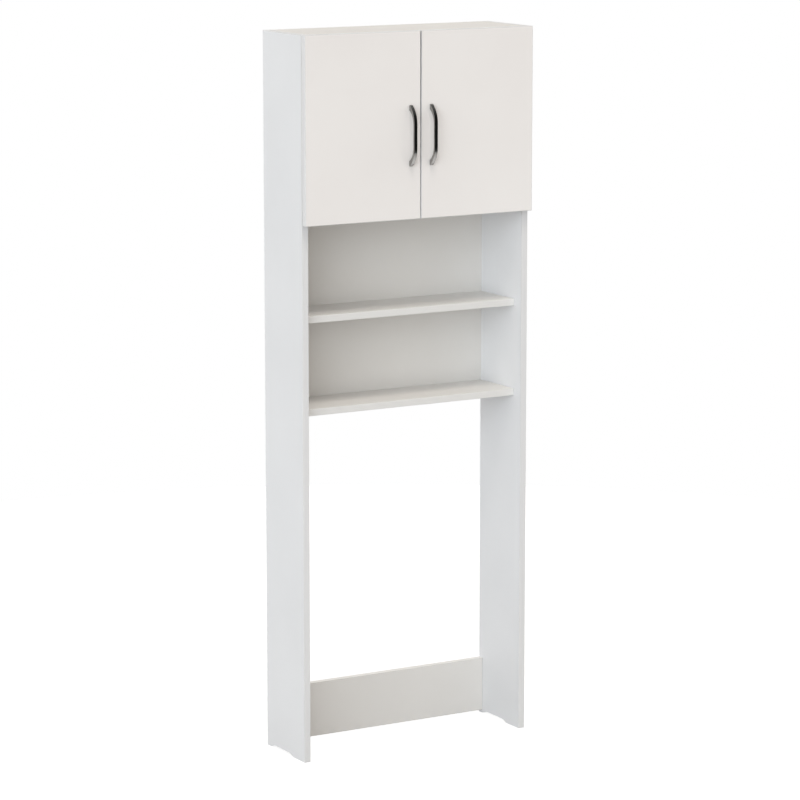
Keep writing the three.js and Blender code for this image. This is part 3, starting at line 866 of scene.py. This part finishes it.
def make_cam(board_name, side):
    """A cam and its bolt, which runs from the cam's middle into the side panel."""
    node = f"{board_name}_{side}_cam"
    low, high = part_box(node)
    inwards = inwards_from(side)
    bolt_end, cam_end = (low.x, high.x) if side == "left" else (high.x, low.x)
    face = (low + high) / 2
    face.x = cam_end - inwards * CAM_RADIUS
    if board_name == "rear_stretcher":
        axis, face.y = -Y, high.y
    else:
        axis, face.z = Z, low.z
    bm = bmesh.new()
    turned(bm, in_mm(CAM_PROFILE), face, axis, CAM_STEPS)
    # the cross is painted shade for the recess in the cam's face
    painted_cross_shade(bm, face + axis * CAM_CROSS_LEVEL, -axis, CAM_CROSS)
    reach = abs(bolt_end - face.x)
    bolt = [
        (0, BOLT_START), (BOLT_RADIUS, BOLT_START), (BOLT_RADIUS, reach - BOLT_CHAMFER),
        (BOLT_RADIUS - BOLT_CHAMFER, reach), (0, reach),
    ]
    turned(bm, bolt, face + axis * BOLT_LEVEL, X * -inwards, BOLT_STEPS)
    settle(as_object(f"{node}_lock", bm, (ZINC, PAINTED_RECESS_SHADE)), "carcass", "zinc_fittings", node)


def make_bracket(side):
    """A wall bracket, and the screw that holds its level leg under the top panel."""
    node = f"{side}_wall_bracket"
    eased_copy(node, f"{node}_angle", BRACKET_EASE, "carcass", "zinc_fittings", ZINC)
    low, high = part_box(node)
    seat = ((low.x + high.x) / 2, high.y - BRACKET_SCREW_OUT, high.z - BRACKET_SHEET)
    bm = bmesh.new()
    screw_head(bm, seat, -Z, *BRACKET_SCREW_HEAD)
    settle(as_object(f"{node}_screw", bm, (ZINC, PAINTED_RECESS_SHADE)), "carcass", "zinc_fittings")


def make_shelf_pin(side, place):
    node = f"{side}_{place}_shelf_pin"
    eased_copy(node, f"{node}_peg", PIN_EASE, "carcass", "nylon_pins", NYLON)


# ------------------------------------------------------------------------------------------- stage

WHITE = (1, 1, 1, 1)
FLOOR_RADIUS, FLOOR_STEPS = 3.0, 96
FLOOR_DROP = 0.2 * MM  # below the feet, so that the two don't share a plane
FLOOR_GREY = (0.3, 0.3, 0.3, 1)  # what throws light back at the rack
FLOOR_SHOWN = 0.86  # glow to the eye, on top of the lit grey
FLOOR_POOL = (0.8, FLOOR_RADIUS, 1.1, 0.2)  # glow in reflections: from and to radius, bright, dim


def make_floor():
    """A round floor: white to the eye, grey to the light, and a bright pool in reflections."""
    bm = bmesh.new()
    bmesh.ops.create_circle(bm, cap_ends=True, radius=FLOOR_RADIUS, segments=FLOOR_STEPS)
    mesh = bpy.data.meshes.new("floor")
    bm.to_mesh(mesh)
    bm.free()
    floor = bpy.data.objects.new("floor", mesh)
    floor.location.z = -FLOOR_DROP
    bpy.context.scene.collection.objects.link(floor)
    made = bpy.data.materials.new("floor_white")
    made.use_nodes = True
    kit = Nodes(made.node_tree)
    matte = kit.add("ShaderNodeBsdfDiffuse", Color=FLOOR_GREY)
    rays = kit.add("ShaderNodeLightPath").outputs
    seen = kit.math("MULTIPLY", rays["Is Camera Ray"], FLOOR_SHOWN)
    place = kit.add("ShaderNodeTexCoord").outputs["Object"]
    distance = kit.add("ShaderNodeVectorMath", {"operation": "LENGTH"}, Vector=place)
    pool = kit.spread(distance.outputs["Value"], *FLOOR_POOL)
    mirrored = kit.math("MULTIPLY", rays["Is Glossy Ray"], pool)
    shown = kit.math("ADD", seen, mirrored)
    glow = kit.add("ShaderNodeEmission", Color=WHITE, Strength=shown)
    both = kit.tree.nodes.new("ShaderNodeAddShader")
    kit.tree.links.new(matte.outputs[0], both.inputs[0])
    kit.tree.links.new(glow.outputs[0], both.inputs[1])
    output = kit.add("ShaderNodeOutputMaterial")
    kit.tree.links.new(both.outputs[0], output.inputs["Surface"])
    mesh.materials.append(made)


def soft_sun(name, azimuth, elevation, strength, spread, tint=(1.0, 1.0, 1.0)):
    """Soft light from one direction, in degrees; azimuth 0 is in front and 90 on the right."""
    data = bpy.data.lights.new(name, "SUN")
    data.energy = strength
    data.angle = math.radians(spread)
    data.color = tint
    light = bpy.data.objects.new(name, data)
    bpy.context.scene.collection.objects.link(light)
    a, e = math.radians(azimuth), math.radians(elevation)
    towards = Vector((math.sin(a) * math.cos(e), -math.cos(a) * math.cos(e), math.sin(e)))
    light.rotation_mode = "QUATERNION"
    light.rotation_quaternion = towards.to_track_quat("Z", "Y")
    light.visible_glossy = False


# The room in reflections, as ramps over a direction's y or z: from and to, dim and bright
ROOM_REAR = (-0.3, 0.5, 0.02, 0.4)
ROOM_ABOVE = (0.45, 0.95, 0.0, 0.2)
ROOM_BELOW = (-0.45, -0.2, 0.2, 0.0)
FILL_COLOUR, FILL_STRENGTH = (1, 0.95, 0.89, 1), 0.5


def make_world():
    """White to the eye, an even fill for light, and a room that is dark in front for mirrors."""
    world = bpy.data.worlds.new("studio")
    world.use_nodes = True
    kit = Nodes(world.node_tree)
    rays = kit.add("ShaderNodeLightPath").outputs
    place = kit.add("ShaderNodeTexCoord").outputs["Generated"]
    towards = kit.add("ShaderNodeSeparateXYZ", Vector=place).outputs
    rear = kit.spread(towards["Y"], *ROOM_REAR)
    above = kit.spread(towards["Z"], *ROOM_ABOVE)
    below = kit.spread(towards["Z"], *ROOM_BELOW)
    room = kit.math("ADD", rear, kit.math("ADD", above, below))
    reflected = kit.add("ShaderNodeBackground", Color=WHITE, Strength=room)
    fill = kit.add("ShaderNodeBackground", Color=FILL_COLOUR, Strength=FILL_STRENGTH)
    white = kit.add("ShaderNodeBackground", Color=WHITE, Strength=1.0)
    chosen = fill.outputs[0]
    for test, answer in (("Is Glossy Ray", reflected), ("Is Camera Ray", white)):
        mixed = kit.tree.nodes.new("ShaderNodeMixShader")
        kit.put(mixed.inputs[0], rays[test])
        kit.tree.links.new(chosen, mixed.inputs[1])
        kit.tree.links.new(answer.outputs[0], mixed.inputs[2])
        chosen = mixed.outputs[0]
    output = kit.add("ShaderNodeOutputWorld")
    kit.tree.links.new(chosen, output.inputs["Surface"])
    bpy.context.scene.world = world


def make_light():
    # name, azimuth, elevation, strength, spread, tint
    soft_sun("top_light", -15, 67, 1.08, 18, (1.0, 0.95, 0.88))
    soft_sun("key_light", -46, 10, 1.22, 45, (0.86, 0.935, 1.0))
    soft_sun("side_light", -82, 12, 0.56, 50, (0.96, 0.99, 1.0))
    soft_sun("front_light", -30, 10, 0.17, 60, (0.96, 0.98, 1.0))
    soft_sun("low_light", 42, 12, 0.1, 15, (1.0, 0.96, 0.9))
    soft_sun("right_light", 100, 15, 1.0, 60)
    soft_sun("back_light", 175, 15, 1.1, 60)
    make_world()
    bpy.context.scene.view_settings.view_transform = "Standard"


# ----------------------------------------------------------------------------------------- assembly

make_camera()
make_boards()
make_back_panel()
make_nails()
for side in SIDES:
    make_handle(side)
    make_bracket(side)
    for level in LEVELS:
        make_hinge(side, level)
        make_handle_screw(side, level)
        make_bumper(side, level)
    for place in ("front", "rear"):
        make_shelf_pin(side, place)
    for board_name in (*FIXED_BOARDS, "rear_stretcher"):
        make_cam(board_name, side)
make_floor()
make_light()
